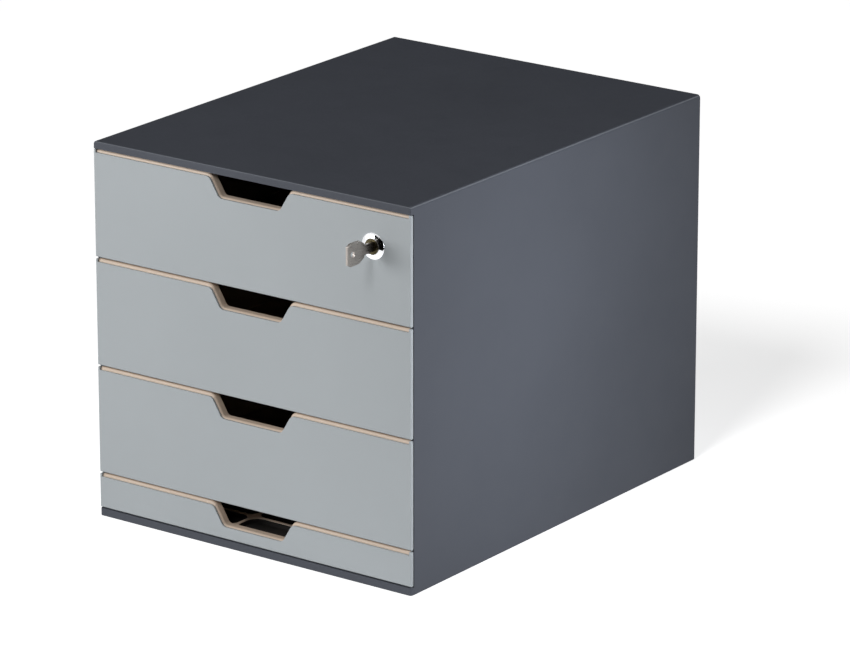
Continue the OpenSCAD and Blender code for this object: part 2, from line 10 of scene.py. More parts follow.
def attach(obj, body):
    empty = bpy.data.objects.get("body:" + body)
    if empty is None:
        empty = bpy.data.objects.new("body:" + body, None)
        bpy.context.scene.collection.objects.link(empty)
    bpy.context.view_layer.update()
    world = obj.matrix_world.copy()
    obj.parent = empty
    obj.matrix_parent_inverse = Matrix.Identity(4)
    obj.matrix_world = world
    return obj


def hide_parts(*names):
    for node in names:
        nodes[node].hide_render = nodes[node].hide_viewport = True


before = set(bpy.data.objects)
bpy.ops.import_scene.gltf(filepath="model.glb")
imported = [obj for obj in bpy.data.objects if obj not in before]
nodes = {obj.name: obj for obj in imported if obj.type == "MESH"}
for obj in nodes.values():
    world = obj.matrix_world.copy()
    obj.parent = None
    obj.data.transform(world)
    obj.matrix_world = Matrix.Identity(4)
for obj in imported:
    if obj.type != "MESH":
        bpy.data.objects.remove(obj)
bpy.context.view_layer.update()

# Sizes in mm. Most are those of the solids. The rim's lift and width, the fronts' turned ends and the finer
# roundings belong to the looks alone. FIT is play, and a cutter stands out past its cut by OVERCUT or REACH.
MM = 0.001
HALF_CASE, HALF_WALL, HALF_FRONT_WALL = 140.0, 137.0, 136.5
HALF_TRAY, HALF_FLANGE, HALF_LUG, HALF_REAR_FLANGE = 129.9, 133.5, 135.1, 129.9
Y_FRONT, Y_RIM, Y_RETURN, Y_POCKET, Y_WALL = -178.0, -176.5, -175.6, -172.5, -170.5
Y_SIDE, Y_BACK, Y_PANEL, Y_TRAY, Y_LUG = -174.6, 178.0, 173.1, 167.1, 155.6
CASE_LOW, BASE_TOP, BASE_EDGE = 0.6, 3.8, 6.2
CASE_HIGH, TOP_UNDER, LID_EDGE = 282.7, 279.5, 277.2
BACK_T, REAR_FLANGE_T, REAR_FLANGE_H, BACK_INSET = 2.5, 3.0, 12.0, 2.4
EDGE_R, LID_R, BASE_R, FRONT_R, FRONT_EDGE_R = 2.5, 1.2, 1.8, 1.2, 0.3
TRAY_R, TRAY_T, FLOOR_T, FLANGE_T = 3.5, 1.8, 1.8, 2.0
TALL_BAY, LOW_BAY = 81.3, 27.1
FRONT_GAP_LOW, FRONT_GAP_HIGH, WALL_RAISE, TRAY_GAP, FLANGE_DROP = 0.8, 2.9, 0.3, 1.5, 8.0
NOTCH_LOW_W, NOTCH_TOP_W, NOTCH_DEPTH, NOTCH_R = 53.2, 70.6, 14.4, 4.5
RIM_T, RIM_PROUD, RIM_LIFT, RIM_R, HALF_RIM, Y_RIM_BACK = 2.0, 1.0, 1.4, 2.2, 137.8, -175.0
END_ABOVE_RIM, END_RAISE = 0.1, 0.6
BOSS_R, HOLE_R, BOSS_X, BOSS_OUTER_X, BOSS_RISE, BOSS_SPACING = 3.2, 1.35, 70.3, 112.0, 11.0, 38.0
HEAD_R, HEAD_H, SHANK_R = 2.6, 1.5, 1.3
PAD_X, PAD_Y, PAD_R, PAD_TOP = 116, 156, 7.0, 1.8
RACK_X, RACK_BOSS_X, RACK_SCREW_Y, RACK_SCREW_RISE = 134, 133.2, 120, 36
BACK_SCREW_X, STRIKE_SCREW_X, STRIKE_SCREW_Y, STRIKE_T = 100, 6.8, -153.6, 1.6
LOCK_X, LOCK_Z, LOCK_HOLE_R, PLUG_R, PLUG_BORE_R, NECK_R, NECK_BORE_R = 107.8, 249.6, 8.0, 5.6, 5.65, 4.0, 4.05
BEZEL_R, BEZEL_H, BARREL_R, BARREL_L, BARREL_REAR = 9.8, 2.0, 7.8, 20.0, 17.0
FIT, OVERCUT, REACH = 0.2, 0.05, 5


# Handling of the pieces

def put_down():
    """Object mode, with nothing selected."""
    if bpy.context.mode != "OBJECT":
        bpy.ops.object.mode_set(mode="OBJECT")
    bpy.ops.object.select_all(action="DESELECT")


def take(piece):
    """One piece alone, selected and active."""
    put_down()
    piece.select_set(True)
    bpy.context.view_layer.objects.active = piece
    return piece


def open_up(piece):
    """One piece alone, in edit mode, with nothing selected."""
    take(piece)
    bpy.ops.object.mode_set(mode="EDIT")
    bpy.ops.mesh.select_all(action="DESELECT")


def pick(piece, kind, test):
    """Selects the faces, edges or corners that pass a test on their place in mm."""
    bpy.ops.mesh.select_mode(type=kind)
    bpy.ops.mesh.select_all(action="DESELECT")
    mesh = bmesh.from_edit_mesh(piece.data)
    if kind == "FACE":
        for face in mesh.faces:
            face.select_set(bool(test(face.calc_center_median() / MM, face.normal)))
    elif kind == "EDGE":
        for edge in mesh.edges:
            edge.select_set(bool(test(*(corner.co / MM for corner in edge.verts))))
    else:
        for corner in mesh.verts:
            corner.select_set(bool(test(corner.co / MM)))
    mesh.select_flush_mode()
    bmesh.update_edit_mesh(piece.data)


def near(a, b, reach=0.05):
    """True for two lengths in mm that are nearly the same."""
    return abs(a - b) < reach


def push(x=0.0, y=0.0, z=0.0):
    """Extrudes what is selected by a distance in mm."""
    bpy.ops.mesh.extrude_region_move(TRANSFORM_OT_translate={"value": (x * MM, y * MM, z * MM)})


def slice_at(point, normal):
    """Cuts the whole mesh along a plane, keeping both sides."""
    bpy.ops.mesh.select_all(action="SELECT")
    bpy.ops.mesh.bisect(plane_co=Vector(point) * MM, plane_no=normal)


def named(name):
    """Names the active piece and moves its place, turn and scale into its mesh."""
    piece = bpy.context.object
    piece.name = piece.data.name = name
    bpy.ops.object.transform_apply(location=True, rotation=True, scale=True)
    return piece


def block(name, low, high):
    """A box between two corners."""
    put_down()
    low, high = Vector(low) * MM, Vector(high) * MM
    bpy.ops.mesh.primitive_cube_add(size=1, location=(low + high) / 2)
    bpy.context.object.scale = high - low
    return named(name)


def bar(name, start, end, radius, sides=48):
    """A round bar between two points."""
    put_down()
    start, end = Vector(start) * MM, Vector(end) * MM
    turn = (end - start).to_track_quat("Z", "Y").to_euler()
    bpy.ops.mesh.primitive_cylinder_add(
        vertices=sides, radius=radius * MM, depth=(end - start).length, location=(start + end) / 2, rotation=turn
    )
    return named(name)


def combine(piece, others, operation):
    """Welds other pieces on, or carves them away."""
    for other in others:
        take(piece)
        fit = piece.modifiers.new("fit", "BOOLEAN")
        fit.operation, fit.object, fit.solver = operation, other, "EXACT"
        bpy.ops.object.modifier_apply(modifier=fit.name)
        bpy.data.meshes.remove(other.data)
    return piece


def weld(piece, *others):
    """Joins other pieces on."""
    return combine(piece, others, "UNION")


def carve(piece, *others):
    """Takes the room of other pieces away."""
    return combine(piece, others, "DIFFERENCE")


def clean(piece):
    """Merges doubles and joins faces that lie in one plane."""
    open_up(piece)
    bpy.ops.mesh.select_all(action="SELECT")
    bpy.ops.mesh.remove_doubles(threshold=0.002 * MM)
    bpy.ops.mesh.dissolve_limited(angle_limit=math.radians(0.2))
    put_down()
    return piece


def soften(piece, width, steps=3, angle=38):
    """Rounds all sharp edges a little and shades the result smoothly."""
    take(piece)
    edge = piece.modifiers.new("soft_edges", "BEVEL")
    edge.width, edge.segments = width * MM, steps
    edge.limit_method, edge.angle_limit = "ANGLE", math.radians(angle)
    bpy.ops.object.modifier_apply(modifier=edge.name)
    return smooth(piece)


def round_edges(piece, width, test, steps=3, angle=38):
    """Rounds those sharp edges whose two ends pass a test on their place in mm."""
    open_up(piece)
    bpy.ops.mesh.select_mode(type="EDGE")
    bpy.ops.mesh.edges_select_sharp(sharpness=math.radians(angle))
    mesh = bmesh.from_edit_mesh(piece.data)
    wanted = [e for e in mesh.edges if e.select and all(test(corner.co / MM) for corner in e.verts)]
    bpy.ops.mesh.select_all(action="DESELECT")
    for edge in wanted:
        edge.select_set(True)
    bmesh.update_edit_mesh(piece.data)
    bpy.ops.mesh.bevel(offset=width * MM, segments=steps, affect="EDGES")
    put_down()
    return piece


def smooth(piece, angle=40):
    """Shades a piece smoothly and keeps its flat faces flat."""
    take(piece)
    bpy.ops.object.shade_smooth_by_angle(angle=math.radians(angle))
    flat = piece.modifiers.new("flat_faces", "WEIGHTED_NORMAL")
    flat.weight, flat.keep_sharp = 100, True
    bpy.ops.object.modifier_apply(modifier=flat.name)
    put_down()
    return piece


def copied(piece, name, z):
    """A copy with its own mesh, moved up or down."""
    take(piece)
    bpy.ops.object.duplicate()
    bpy.ops.transform.translate(value=(0, 0, z * MM))
    return named(name)


def turned(name, x, z, rings, sides=96):
    """A round piece on an axis along Y, from its rings of radius and depth; its last ring meets its first."""
    put_down()
    radius, y = rings[0]
    bpy.ops.mesh.primitive_circle_add(
        vertices=sides, radius=radius * MM, location=(x * MM, y * MM, z * MM), rotation=(math.pi / 2, 0, 0)
    )
    piece = named(name)
    open_up(piece)
    bpy.ops.mesh.select_mode(type="EDGE")
    bpy.ops.mesh.select_all(action="SELECT")
    for (r0, y0), (r1, y1) in zip(rings, rings[1:]):
        push(y=y1 - y0)
        bpy.ops.transform.resize(value=(r1 / r0, 1, r1 / r0), center_override=(x * MM, y1 * MM, z * MM))
    bpy.ops.mesh.select_all(action="SELECT")
    bpy.ops.mesh.remove_doubles(threshold=0.002 * MM)
    bpy.ops.mesh.normals_make_consistent(inside=False)
    put_down()
    return piece


# Finishes

def new_finish(name):
    """A new material with its nodes and its shader."""
    finish = bpy.data.materials.new(name)
    finish.use_nodes = True
    return finish, finish.node_tree, finish.node_tree.nodes["Principled BSDF"]


def step(tree, kind, settings=None, **values):
    """A node of a finish, with its settings and its inputs' values."""
    made = tree.nodes.new(kind)
    for key, value in (settings or {}).items():
        setattr(made, key, value)
    for key, value in values.items():
        made.inputs[key.replace("_", " ")].default_value = value
    return made


def noise_on(tree, place, scale, detail=2.0, stretch=None):
    """Noise on the piece's own coordinates, stretched where it has a direction."""
    made = step(tree, "ShaderNodeTexNoise", Scale=scale, Detail=detail)
    if stretch:
        turn = step(tree, "ShaderNodeMapping", Scale=stretch)
        tree.links.new(place.outputs["Object"], turn.inputs["Vector"])
        tree.links.new(turn.outputs["Vector"], made.inputs["Vector"])
    else:
        tree.links.new(place.outputs["Object"], made.inputs["Vector"])
    return made.outputs["Fac"]


def spread(tree, source, low, high, start=0.3, end=0.7):
    """Noise brought to a range of values."""
    made = step(tree, "ShaderNodeMapRange", From_Min=start, From_Max=end, To_Min=low, To_Max=high)
    tree.links.new(source, made.inputs["Value"])
    return made.outputs["Result"]


def shade_between(tree, source, dark, light):
    """A colour between two, by noise."""
    made = step(tree, "ShaderNodeMix", {"data_type": "RGBA"})
    made.inputs[6].default_value = (*dark, 1)
    made.inputs[7].default_value = (*light, 1)
    tree.links.new(source, made.inputs[0])
    return made.outputs[2]


def raise_by(tree, shader, source, strength, height):
    """A fine relief, with its height in mm."""
    bump = step(tree, "ShaderNodeBump", Strength=strength, Distance=height * MM)
    tree.links.new(source, bump.inputs["Height"])
    tree.links.new(bump.outputs["Normal"], shader.inputs["Normal"])


def moulded_plastic(name, colour, roughness, level, variation=0.05, grain=0.02):
    """Satin plastic with a fine spark-eroded grain and a little cloudiness."""
    finish, tree, shader = new_finish(name)
    place = step(tree, "ShaderNodeTexCoord")
    cloud = spread(tree, noise_on(tree, place, 7.0, 3.0), 0, 1)
    dark, light = ([c * (1 + side * variation) for c in colour] for side in (-1, 1))
    tree.links.new(shade_between(tree, cloud, dark, light), shader.inputs["Base Color"])
    rub = noise_on(tree, place, 55.0, 4.0)
    tree.links.new(spread(tree, rub, roughness - 0.03, roughness + 0.04), shader.inputs["Roughness"])
    raise_by(tree, shader, noise_on(tree, place, 1900.0, 2.0), 0.12, grain)
    shader.inputs["Specular IOR Level"].default_value = level
    return finish


def metal(name, colour, roughness, variation, scratch, stretch, height, painted_depth_shade=None):
    """Bare or plated metal with fine lines along one direction, and a painted shade that makes it darker from one
    depth in mm to another.
    """
    finish, tree, shader = new_finish(name)
    place = step(tree, "ShaderNodeTexCoord")
    cloud = spread(tree, noise_on(tree, place, 160.0, 4.0), 0, 1)
    dark, light = ([c * (1 + side * variation) for c in colour] for side in (-1, 1))
    shade = shade_between(tree, cloud, dark, light)
    # Painted shade: the colour is scaled down between two depths along Y.
    if painted_depth_shade:
        start, end, level = painted_depth_shade
        axes = step(tree, "ShaderNodeSeparateXYZ")
        tree.links.new(place.outputs["Object"], axes.inputs["Vector"])
        fade = step(tree, "ShaderNodeVectorMath", {"operation": "SCALE"})
        tree.links.new(shade, fade.inputs[0])
        tree.links.new(spread(tree, axes.outputs["Y"], 1.0, level, start * MM, end * MM), fade.inputs["Scale"])
        shade = fade.outputs[0]
    tree.links.new(shade, shader.inputs["Base Color"])
    lines = noise_on(tree, place, scratch, 3.0, stretch)
    tree.links.new(spread(tree, lines, roughness * 0.75, roughness * 1.35), shader.inputs["Roughness"])
    raise_by(tree, shader, lines, 0.15, height)
    shader.inputs["Metallic"].default_value = 1.0
    return finish


case_plastic = moulded_plastic("anthracite_plastic", (0.073, 0.079, 0.095), 0.52, 0.12)
# Glossier finish for the lid's rounded top edges. Its lighter colour is a painted highlight along them.
painted_highlight_edge = moulded_plastic("anthracite_plastic_painted_highlight_edge", (0.120, 0.130, 0.150), 0.34, 0.5)
inner_plastic = moulded_plastic("anthracite_plastic_inside", (0.085, 0.092, 0.108), 0.55, 0.22)
front_plastic = moulded_plastic("light_grey_plastic", (0.375, 0.403, 0.419), 0.46, 0.3, 0.025)
tray_plastic = moulded_plastic("sand_plastic", (0.565, 0.456, 0.365), 0.42, 0.35, 0.04)
# Near-black finish for the insert's wells: painted shade where little light reaches.
painted_shade_wells = moulded_plastic("painted_shade_in_wells", (0.020, 0.019, 0.018), 0.8, 0.2, 0.15, 0.05)
lock_chrome = metal("polished_chrome", (0.86, 0.87, 0.89), 0.07, 0.02, 420.0, (1, 1, 5), 0.002)
zinc_steel = metal("zinc_plated_steel", (0.56, 0.56, 0.55), 0.33, 0.08, 700.0, (1, 1, 1), 0.006)
# The key's blade is darker toward the lock: painted shade where the short blade lies in shadow.
key_steel = metal(
    "satin_nickel_key", (0.42, 0.385, 0.355), 0.30, 0.05, 5200.0, (1, 0.04, 1), 0.0006, painted_depth_shade=(-194, -187, 0.5))
plug_brass = metal("lock_brass", (0.09, 0.076, 0.042), 0.26, 0.35, 800.0, (1, 1, 1), 0.006)
pad_rubber = moulded_plastic("black_rubber", (0.022, 0.022, 0.023), 0.8, 0.25, 0.15, 0.06)


def finished(piece, finish, slot, body, *stands_for):
    """Gives a piece its finish, its body and the nodes that it stands for."""
    if finish.name not in piece.data.materials:
        piece.data.materials.clear()
        piece.data.materials.append(finish)
    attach(piece, body)
    if stands_for:
        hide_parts(*stands_for)
    return piece


def second_finish(piece, first, second, test):
    """A piece of two finishes: the faces that pass a test take the second one."""
    for finish in (first, second):
        piece.data.materials.append(finish)
    open_up(piece)
    pick(piece, "FACE", test)
    piece.active_material_index = 1
    bpy.ops.object.material_slot_assign()
    put_down()
    return piece


# Case

BASE_SCREWS = [(x, y) for x in (-RACK_BOSS_X, RACK_BOSS_X) for y in (-RACK_SCREW_Y, RACK_SCREW_Y)]
BACK_SCREWS = [
    (x, z) for x in (-BACK_SCREW_X, 0, BACK_SCREW_X)
    for z in (BASE_TOP + REAR_FLANGE_H / 2, TOP_UNDER - REAR_FLANGE_H / 2)
]


def make_hood():
    """The top and both sides in one moulding, with the lid's edge in front and a flange behind."""
    hood = block("hood_shell", (-HALF_CASE, Y_SIDE, CASE_LOW), (HALF_CASE, Y_BACK, CASE_HIGH))
    weld(hood, block("lid_edge", (-HALF_CASE, Y_FRONT, LID_EDGE), (HALF_CASE, Y_SIDE, CASE_HIGH)))
    carve(hood, block(
        "bay", (-HALF_WALL, Y_SIDE - OVERCUT, CASE_LOW - REACH), (HALF_WALL, Y_BACK + REACH, TOP_UNDER)))
    clean(hood)
    open_up(hood)
    pick(hood, "EDGE", lambda a, b: all(
        near(abs(p.x), HALF_CASE) and near(p.z, CASE_HIGH) for p in (a, b)) and abs(a.y - b.y) > 1)
    bpy.ops.mesh.bevel(offset=EDGE_R * MM, segments=8, affect="EDGES")
    pick(hood, "EDGE", lambda a, b: all(near(p.y, Y_FRONT) for p in (a, b)) and max(a.z, b.z) > LID_EDGE + 1)
    bpy.ops.mesh.bevel(offset=LID_R * MM, segments=5, affect="EDGES")
    put_down()
    flange_low = TOP_UNDER - REAR_FLANGE_H
    weld(hood, block(
        "flange",
        (-HALF_REAR_FLANGE, Y_PANEL - REAR_FLANGE_T, flange_low), (HALF_REAR_FLANGE, Y_PANEL, TOP_UNDER + 1)))
    # The middle of the rounded top edges takes the lighter finish: a painted highlight.
    return second_finish(
        soften(clean(hood), width=0.45), case_plastic, painted_highlight_edge,
        lambda p, normal: p.z > CASE_HIGH - EDGE_R and 0.55 < normal.z < 0.85 and (
            normal.y < -0.5 or abs(normal.x) > 0.5 and abs(p.x) > HALF_CASE - EDGE_R))


def make_base():
    """The base panel, with its raised front edge, rear flange, pad recesses and sunk screw holes."""
    half_w = HALF_WALL - FIT
    base = block("base_plate", (-half_w, Y_SIDE - 1, CASE_LOW), (half_w, Y_BACK - BACK_INSET, BASE_TOP))
    edge = block("edge", (-HALF_CASE, Y_FRONT, CASE_LOW), (HALF_CASE, Y_SIDE, BASE_EDGE))
    open_up(edge)
    pick(edge, "EDGE", lambda a, b: all(near(p.y, Y_FRONT) for p in (a, b)) and near(a.x, b.x))
    bpy.ops.mesh.bevel(offset=BASE_R * MM, segments=6, affect="EDGES")
    put_down()
    weld(base, edge)
    weld(base, block(
        "flange",
        (-HALF_REAR_FLANGE, Y_PANEL - REAR_FLANGE_T, CASE_LOW + 1),
        (HALF_REAR_FLANGE, Y_PANEL, BASE_TOP + REAR_FLANGE_H)))
    for x in (-PAD_X, PAD_X):
        for y in (-PAD_Y, PAD_Y):
            carve(base, bar("recess", (x, y, -1), (x, y, PAD_TOP), PAD_R))
    for x, y in BASE_SCREWS:
        carve(base, bar("sunk_head", (x, y, -1), (x, y, CASE_LOW + HEAD_H + FIT), HEAD_R + FIT))
        carve(base, bar("hole", (x, y, 0), (x, y, BASE_TOP + 1), HOLE_R))
    return soften(clean(base), width=0.4)


def make_back():
    """The back panel, holed for its screws."""
    half_w, y_outside = HALF_WALL - FIT, Y_PANEL + BACK_T
    back = block("back_plate", (-half_w, Y_PANEL, BASE_TOP), (half_w, y_outside, TOP_UNDER - FIT))
    for x, z in BACK_SCREWS:
        carve(back, bar("hole", (x, Y_PANEL - 1, z), (x, y_outside + 1, z), HOLE_R))
    return soften(clean(back), width=0.5)


# Drawers

def bay_low(n):
    """Underside of a drawer's bay: 1 is the top drawer, and 4 the low one."""
    return BASE_EDGE + (0 if n == 4 else LOW_BAY + (3 - n) * TALL_BAY)


def bay_high(n):
    """Upper end of a drawer's bay."""
    return bay_low(n) + (LOW_BAY if n == 4 else TALL_BAY)


SLOPE = math.atan((NOTCH_TOP_W - NOTCH_LOW_W) / 2 / NOTCH_DEPTH)


def notched_plate(name, half_w, low, top, grow, lift, y0, y1):
    """An upright plate with a rounded finger notch; grow offsets its outline, and lift raises its top edge."""
    put_down()
    high, floor = top + grow + lift, top - NOTCH_DEPTH + grow
    bpy.ops.mesh.primitive_plane_add(
        size=1, location=(0, y0 * MM, (low + high) / 2 * MM), rotation=(math.pi / 2, 0, 0))
    bpy.context.object.scale = (2 * half_w * MM, (high - low) * MM, 1)
    plate = named(name)
    x_low = NOTCH_LOW_W / 2 + grow * math.tan(SLOPE) - grow / math.cos(SLOPE)
    x_high = x_low + (high - floor) * math.tan(SLOPE)
    open_up(plate)
    slice_at((0, 0, floor), (0, 0, 1))
    for side in (-1, 1):
        pick(plate, "FACE", lambda p, normal: p.z > floor)
        slant = (side * math.cos(SLOPE), 0, -math.sin(SLOPE))
        bpy.ops.mesh.bisect(plane_co=Vector((side * x_low, 0, floor)) * MM, plane_no=slant)
    pick(plate, "FACE", lambda p, normal: p.z > floor and abs(p.x) < x_low)
    bpy.ops.mesh.delete(type="FACE")
    bpy.ops.mesh.select_all(action="SELECT")
    bpy.ops.mesh.dissolve_faces()
    pick(plate, "VERT", lambda p: near(abs(p.x), half_w) and near(p.z, floor))
    bpy.ops.mesh.dissolve_verts()
    round_by = (1 - math.sin(SLOPE)) / math.cos(SLOPE)
    for x, z, radius in ((x_high, high, NOTCH_R + grow), (x_low, floor, NOTCH_R - grow)):
        pick(plate, "VERT", lambda p: near(abs(p.x), x) and near(p.z, z))
        bpy.ops.mesh.bevel(offset=radius * round_by * MM, segments=10, affect="VERTICES")
    bpy.ops.mesh.select_mode(type="FACE")
    bpy.ops.mesh.select_all(action="SELECT")
    push(y=y1 - y0)
    bpy.ops.mesh.select_all(action="SELECT")
    bpy.ops.mesh.normals_make_consistent(inside=False)
    put_down()
    return plate


def boss_places(n):
    """Where the screw bosses of a front stand."""
    low = bay_low(n) + FRONT_GAP_LOW + BOSS_RISE
    if n == 4:
        return [(x, low) for x in (-BOSS_OUTER_X, -BOSS_X, BOSS_X, BOSS_OUTER_X)]
    return [(x, low + rise) for x in (-BOSS_X, BOSS_X) for rise in (0, BOSS_SPACING)]


def make_front(n, name):
    """A thin notched front whose rounded ends turn back around the tray's rim, and screw bosses behind it."""
    low, top = bay_low(n) + FRONT_GAP_LOW, bay_high(n) - FRONT_GAP_HIGH
    end_top = top + RIM_PROUD + RIM_LIFT + END_ABOVE_RIM
    front = notched_plate(name, HALF_CASE, low, top, 0.0, 0.0, Y_FRONT, Y_RIM)
    for side in (-1, 1):
        ends = sorted((side * (HALF_RIM + FIT), side * HALF_CASE))
        weld(front, block("end", (ends[0], Y_FRONT, low + END_RAISE), (ends[1], Y_RETURN, end_top)))
    clean(front)
    open_up(front)
    pick(front, "EDGE", lambda a, b: all(near(abs(p.x), HALF_CASE) for p in (a, b)) and (
        near(a.y, Y_FRONT) and near(b.y, Y_FRONT) or near(a.z, end_top) and near(b.z, end_top)))
    bpy.ops.mesh.bevel(offset=FRONT_R * MM, segments=6, affect="EDGES")
    round_edges(front, FRONT_EDGE_R, lambda p: p.y < Y_RIM - 0.2)
    for x, z in boss_places(n):
        weld(front, bar("boss", (x, Y_RIM - 0.4, z), (x, Y_POCKET, z), BOSS_R, 32))
        carve(front, bar("hole", (x, Y_RIM, z), (x, Y_POCKET + 1, z), HOLE_R, 24))
    return front


def make_tray(n, name):
    """A tray: the notched front wall with its rim, the box behind it, the runner flanges and the stop lugs."""
    front_low, top = bay_low(n) + FRONT_GAP_LOW, bay_high(n) - FRONT_GAP_HIGH
    low, flange_high = bay_low(n) + TRAY_GAP, bay_high(n) - FLANGE_DROP
    flange_low = flange_high - FLANGE_T
    wall = notched_plate(name, HALF_RIM, front_low + WALL_RAISE, top, RIM_PROUD, RIM_LIFT, Y_RIM, Y_WALL)
    for side in (-1, 1):
        ends = sorted((side * HALF_FRONT_WALL, side * HALF_CASE))
        carve(wall, block(
            "step", (ends[0], Y_RIM_BACK, bay_low(n) - REACH), (ends[1], Y_WALL + REACH, bay_high(n) + REACH)))
    open_up(wall)
    pick(wall, "EDGE", lambda a, b: all(near(p.y, Y_RIM) and p.z > front_low + 5 for p in (a, b)))
    bpy.ops.mesh.bevel(offset=RIM_R * MM, segments=5, affect="EDGES")
    pick(wall, "FACE", lambda p, normal: normal.y < -0.998)
    bpy.ops.mesh.inset(thickness=RIM_T * MM, depth=0)
    push(y=Y_POCKET - Y_RIM)
    box = block("box", (-HALF_TRAY, Y_POCKET + 0.1, low), (HALF_TRAY, Y_TRAY, flange_high))
    open_up(box)
    pick(box, "EDGE", lambda a, b: near(a.y, Y_TRAY) and near(b.y, Y_TRAY) and abs(a.z - b.z) > 1)
    bpy.ops.mesh.bevel(offset=TRAY_R * MM, segments=8, affect="EDGES")
    pick(box, "FACE", lambda p, normal: normal.z > 0.9)
    bpy.ops.mesh.inset(thickness=TRAY_T * MM, depth=0)
    push(z=low + FLOOR_T - flange_high)
    slice_at((0, 0, flange_low), (0, 0, 1))
    slice_at((0, Y_LUG, 0), (0, 1, 0))
    flange_end = Y_TRAY - TRAY_R
    for side in (-1, 1):
        pick(box, "FACE", lambda p, normal: (
            normal.x * side > 0.9 and near(p.x, side * HALF_TRAY) and p.z > flange_low and p.y < flange_end))
        push(x=side * (HALF_FLANGE - HALF_TRAY))
        pick(box, "FACE", lambda p, normal: (
            normal.x * side > 0.9 and near(p.x, side * HALF_FLANGE) and p.y > Y_LUG))
        push(x=side * (HALF_LUG - HALF_FLANGE))
    put_down()
    half_mouth, mouth_floor = NOTCH_TOP_W / 2 + 10, top - NOTCH_DEPTH
    carve(box, block(
        "mouth", (-half_mouth, Y_RIM, mouth_floor), (half_mouth, Y_WALL + REACH, flange_high + REACH)))
    weld(wall, box)
    for x, z in boss_places(n):
        carve(wall, bar("hole", (x, Y_POCKET - 1, z), (x, Y_WALL + 1, z), HOLE_R, 24))
    return clean(wall)


def make_insert():
    """The low drawer's shallow moulding with four rounded compartments."""
    low, floor, high, half_w, well_r = 9.5, 10.5, 14.7, 127.9, 8
    y0, y1 = Y_WALL + FIT, Y_TRAY - TRAY_T - FIT
    x_rib, y_rib, rib = -25.0, -143.7, 1.2

    def inside(p, normal):
        return normal.z > 0.9 and abs(p.x) < half_w - rib - 1 and y0 + rib + 1 < p.y < y1 - rib - 1

    insert = block("insert_moulding", (-half_w, y0, low), (half_w, y1, high))
    open_up(insert)
    pick(insert, "FACE", lambda p, normal: normal.z > 0.9)
    bpy.ops.mesh.inset(thickness=rib * MM, depth=0)
    for point, normal in (((x_rib, 0, 0), (1, 0, 0)), ((0, y_rib, 0), (0, 1, 0))):
        pick(insert, "FACE", inside)
        bpy.ops.mesh.bisect(plane_co=Vector(point) * MM, plane_no=normal)
    pick(insert, "FACE", inside)
    bpy.ops.mesh.inset(thickness=rib * MM, depth=0, use_individual=True)
    push(z=floor - high)
    pick(insert, "EDGE", lambda a, b: (
        abs(a.z - b.z) > 3 and near(max(a.z, b.z), high) and near(min(a.z, b.z), floor)
        and near(a.x, b.x) and near(a.y, b.y)))
    bpy.ops.mesh.bevel(offset=well_r * MM, segments=10, affect="EDGES")
    pick(insert, "EDGE", lambda a, b: near(a.y, y1) and near(b.y, y1) and abs(a.z - b.z) > 1)
    bpy.ops.mesh.bevel(offset=(TRAY_R - TRAY_T) * MM, segments=6, affect="EDGES")
    put_down()
    # The walls and floors of the wells take the near-black finish: painted shade.
    return second_finish(
        soften(insert, width=0.6), tray_plastic, painted_shade_wells,
        lambda p, n: low + 0.5 < p.z < high - 0.7 and abs(p.x) < half_w - rib and y0 + rib < p.y < y1 - rib)


# Lock and key

def make_lock_body():
    """The domed chrome bezel with its raised inner lip, and the bored barrel."""
    lip = [(PLUG_BORE_R, -1.5), (5.85, -1.85), (6.15, -BEZEL_H), (6.6, -BEZEL_H), (6.85, -1.88), (7.1, -1.8)]
    dome = [
        (7.9, -1.62), (8.6, -1.36), (9.2, -1.0), (9.55, -0.68), (9.75, -0.4), (BEZEL_R, -0.2), (BEZEL_R, 0.0),
    ]
    barrel = [(BARREL_R, 0.0), (BARREL_R, BARREL_L), (NECK_BORE_R, BARREL_L)]
    bore = [(NECK_BORE_R, BARREL_REAR), (PLUG_BORE_R, BARREL_REAR), lip[0]]
    rings = [(r, Y_FRONT + y) for r, y in lip + dome + barrel + bore]
    return smooth(turned("bezel_and_barrel", LOCK_X, LOCK_Z, rings, 128))


def make_plug():
    """The plug with its keyway, neck, cam square and a turned ring around the keyway."""
    x, z, y = LOCK_X, LOCK_Z, Y_FRONT
    square, square_end = 2.6, y + 22.3
    slot_w, slot_h, slot_end = 1.15, 3.75, y + 13.25
    plug = bar("plug_cylinder", (x, y - 1.5, z), (x, y + 16.8, z), PLUG_R, 96)
    open_up(plug)
    pick(plug, "FACE", lambda p, normal: normal.y < -0.9)
    bpy.ops.mesh.inset(thickness=0.9 * MM, depth=0)
    bpy.ops.mesh.inset(thickness=0.3 * MM, depth=-0.25 * MM)
    bpy.ops.mesh.inset(thickness=0.3 * MM, depth=0.1 * MM)
    put_down()
    weld(plug, bar("neck", (x, y + 16.5, z), (x, y + 20.1, z), NECK_R, 64))
    weld(plug, block("square", (x - square, y + 19.9, z - square), (x + square, square_end, z + square)))
    carve(plug, block("keyway", (x - slot_w, y - 3, z - slot_h), (x + slot_w, slot_end, z + slot_h)))
    carve(plug, bar("hole", (x, y + BARREL_L, z), (x, y + 23, z), HOLE_R, 32))
    return soften(clean(plug), width=0.12, steps=2)


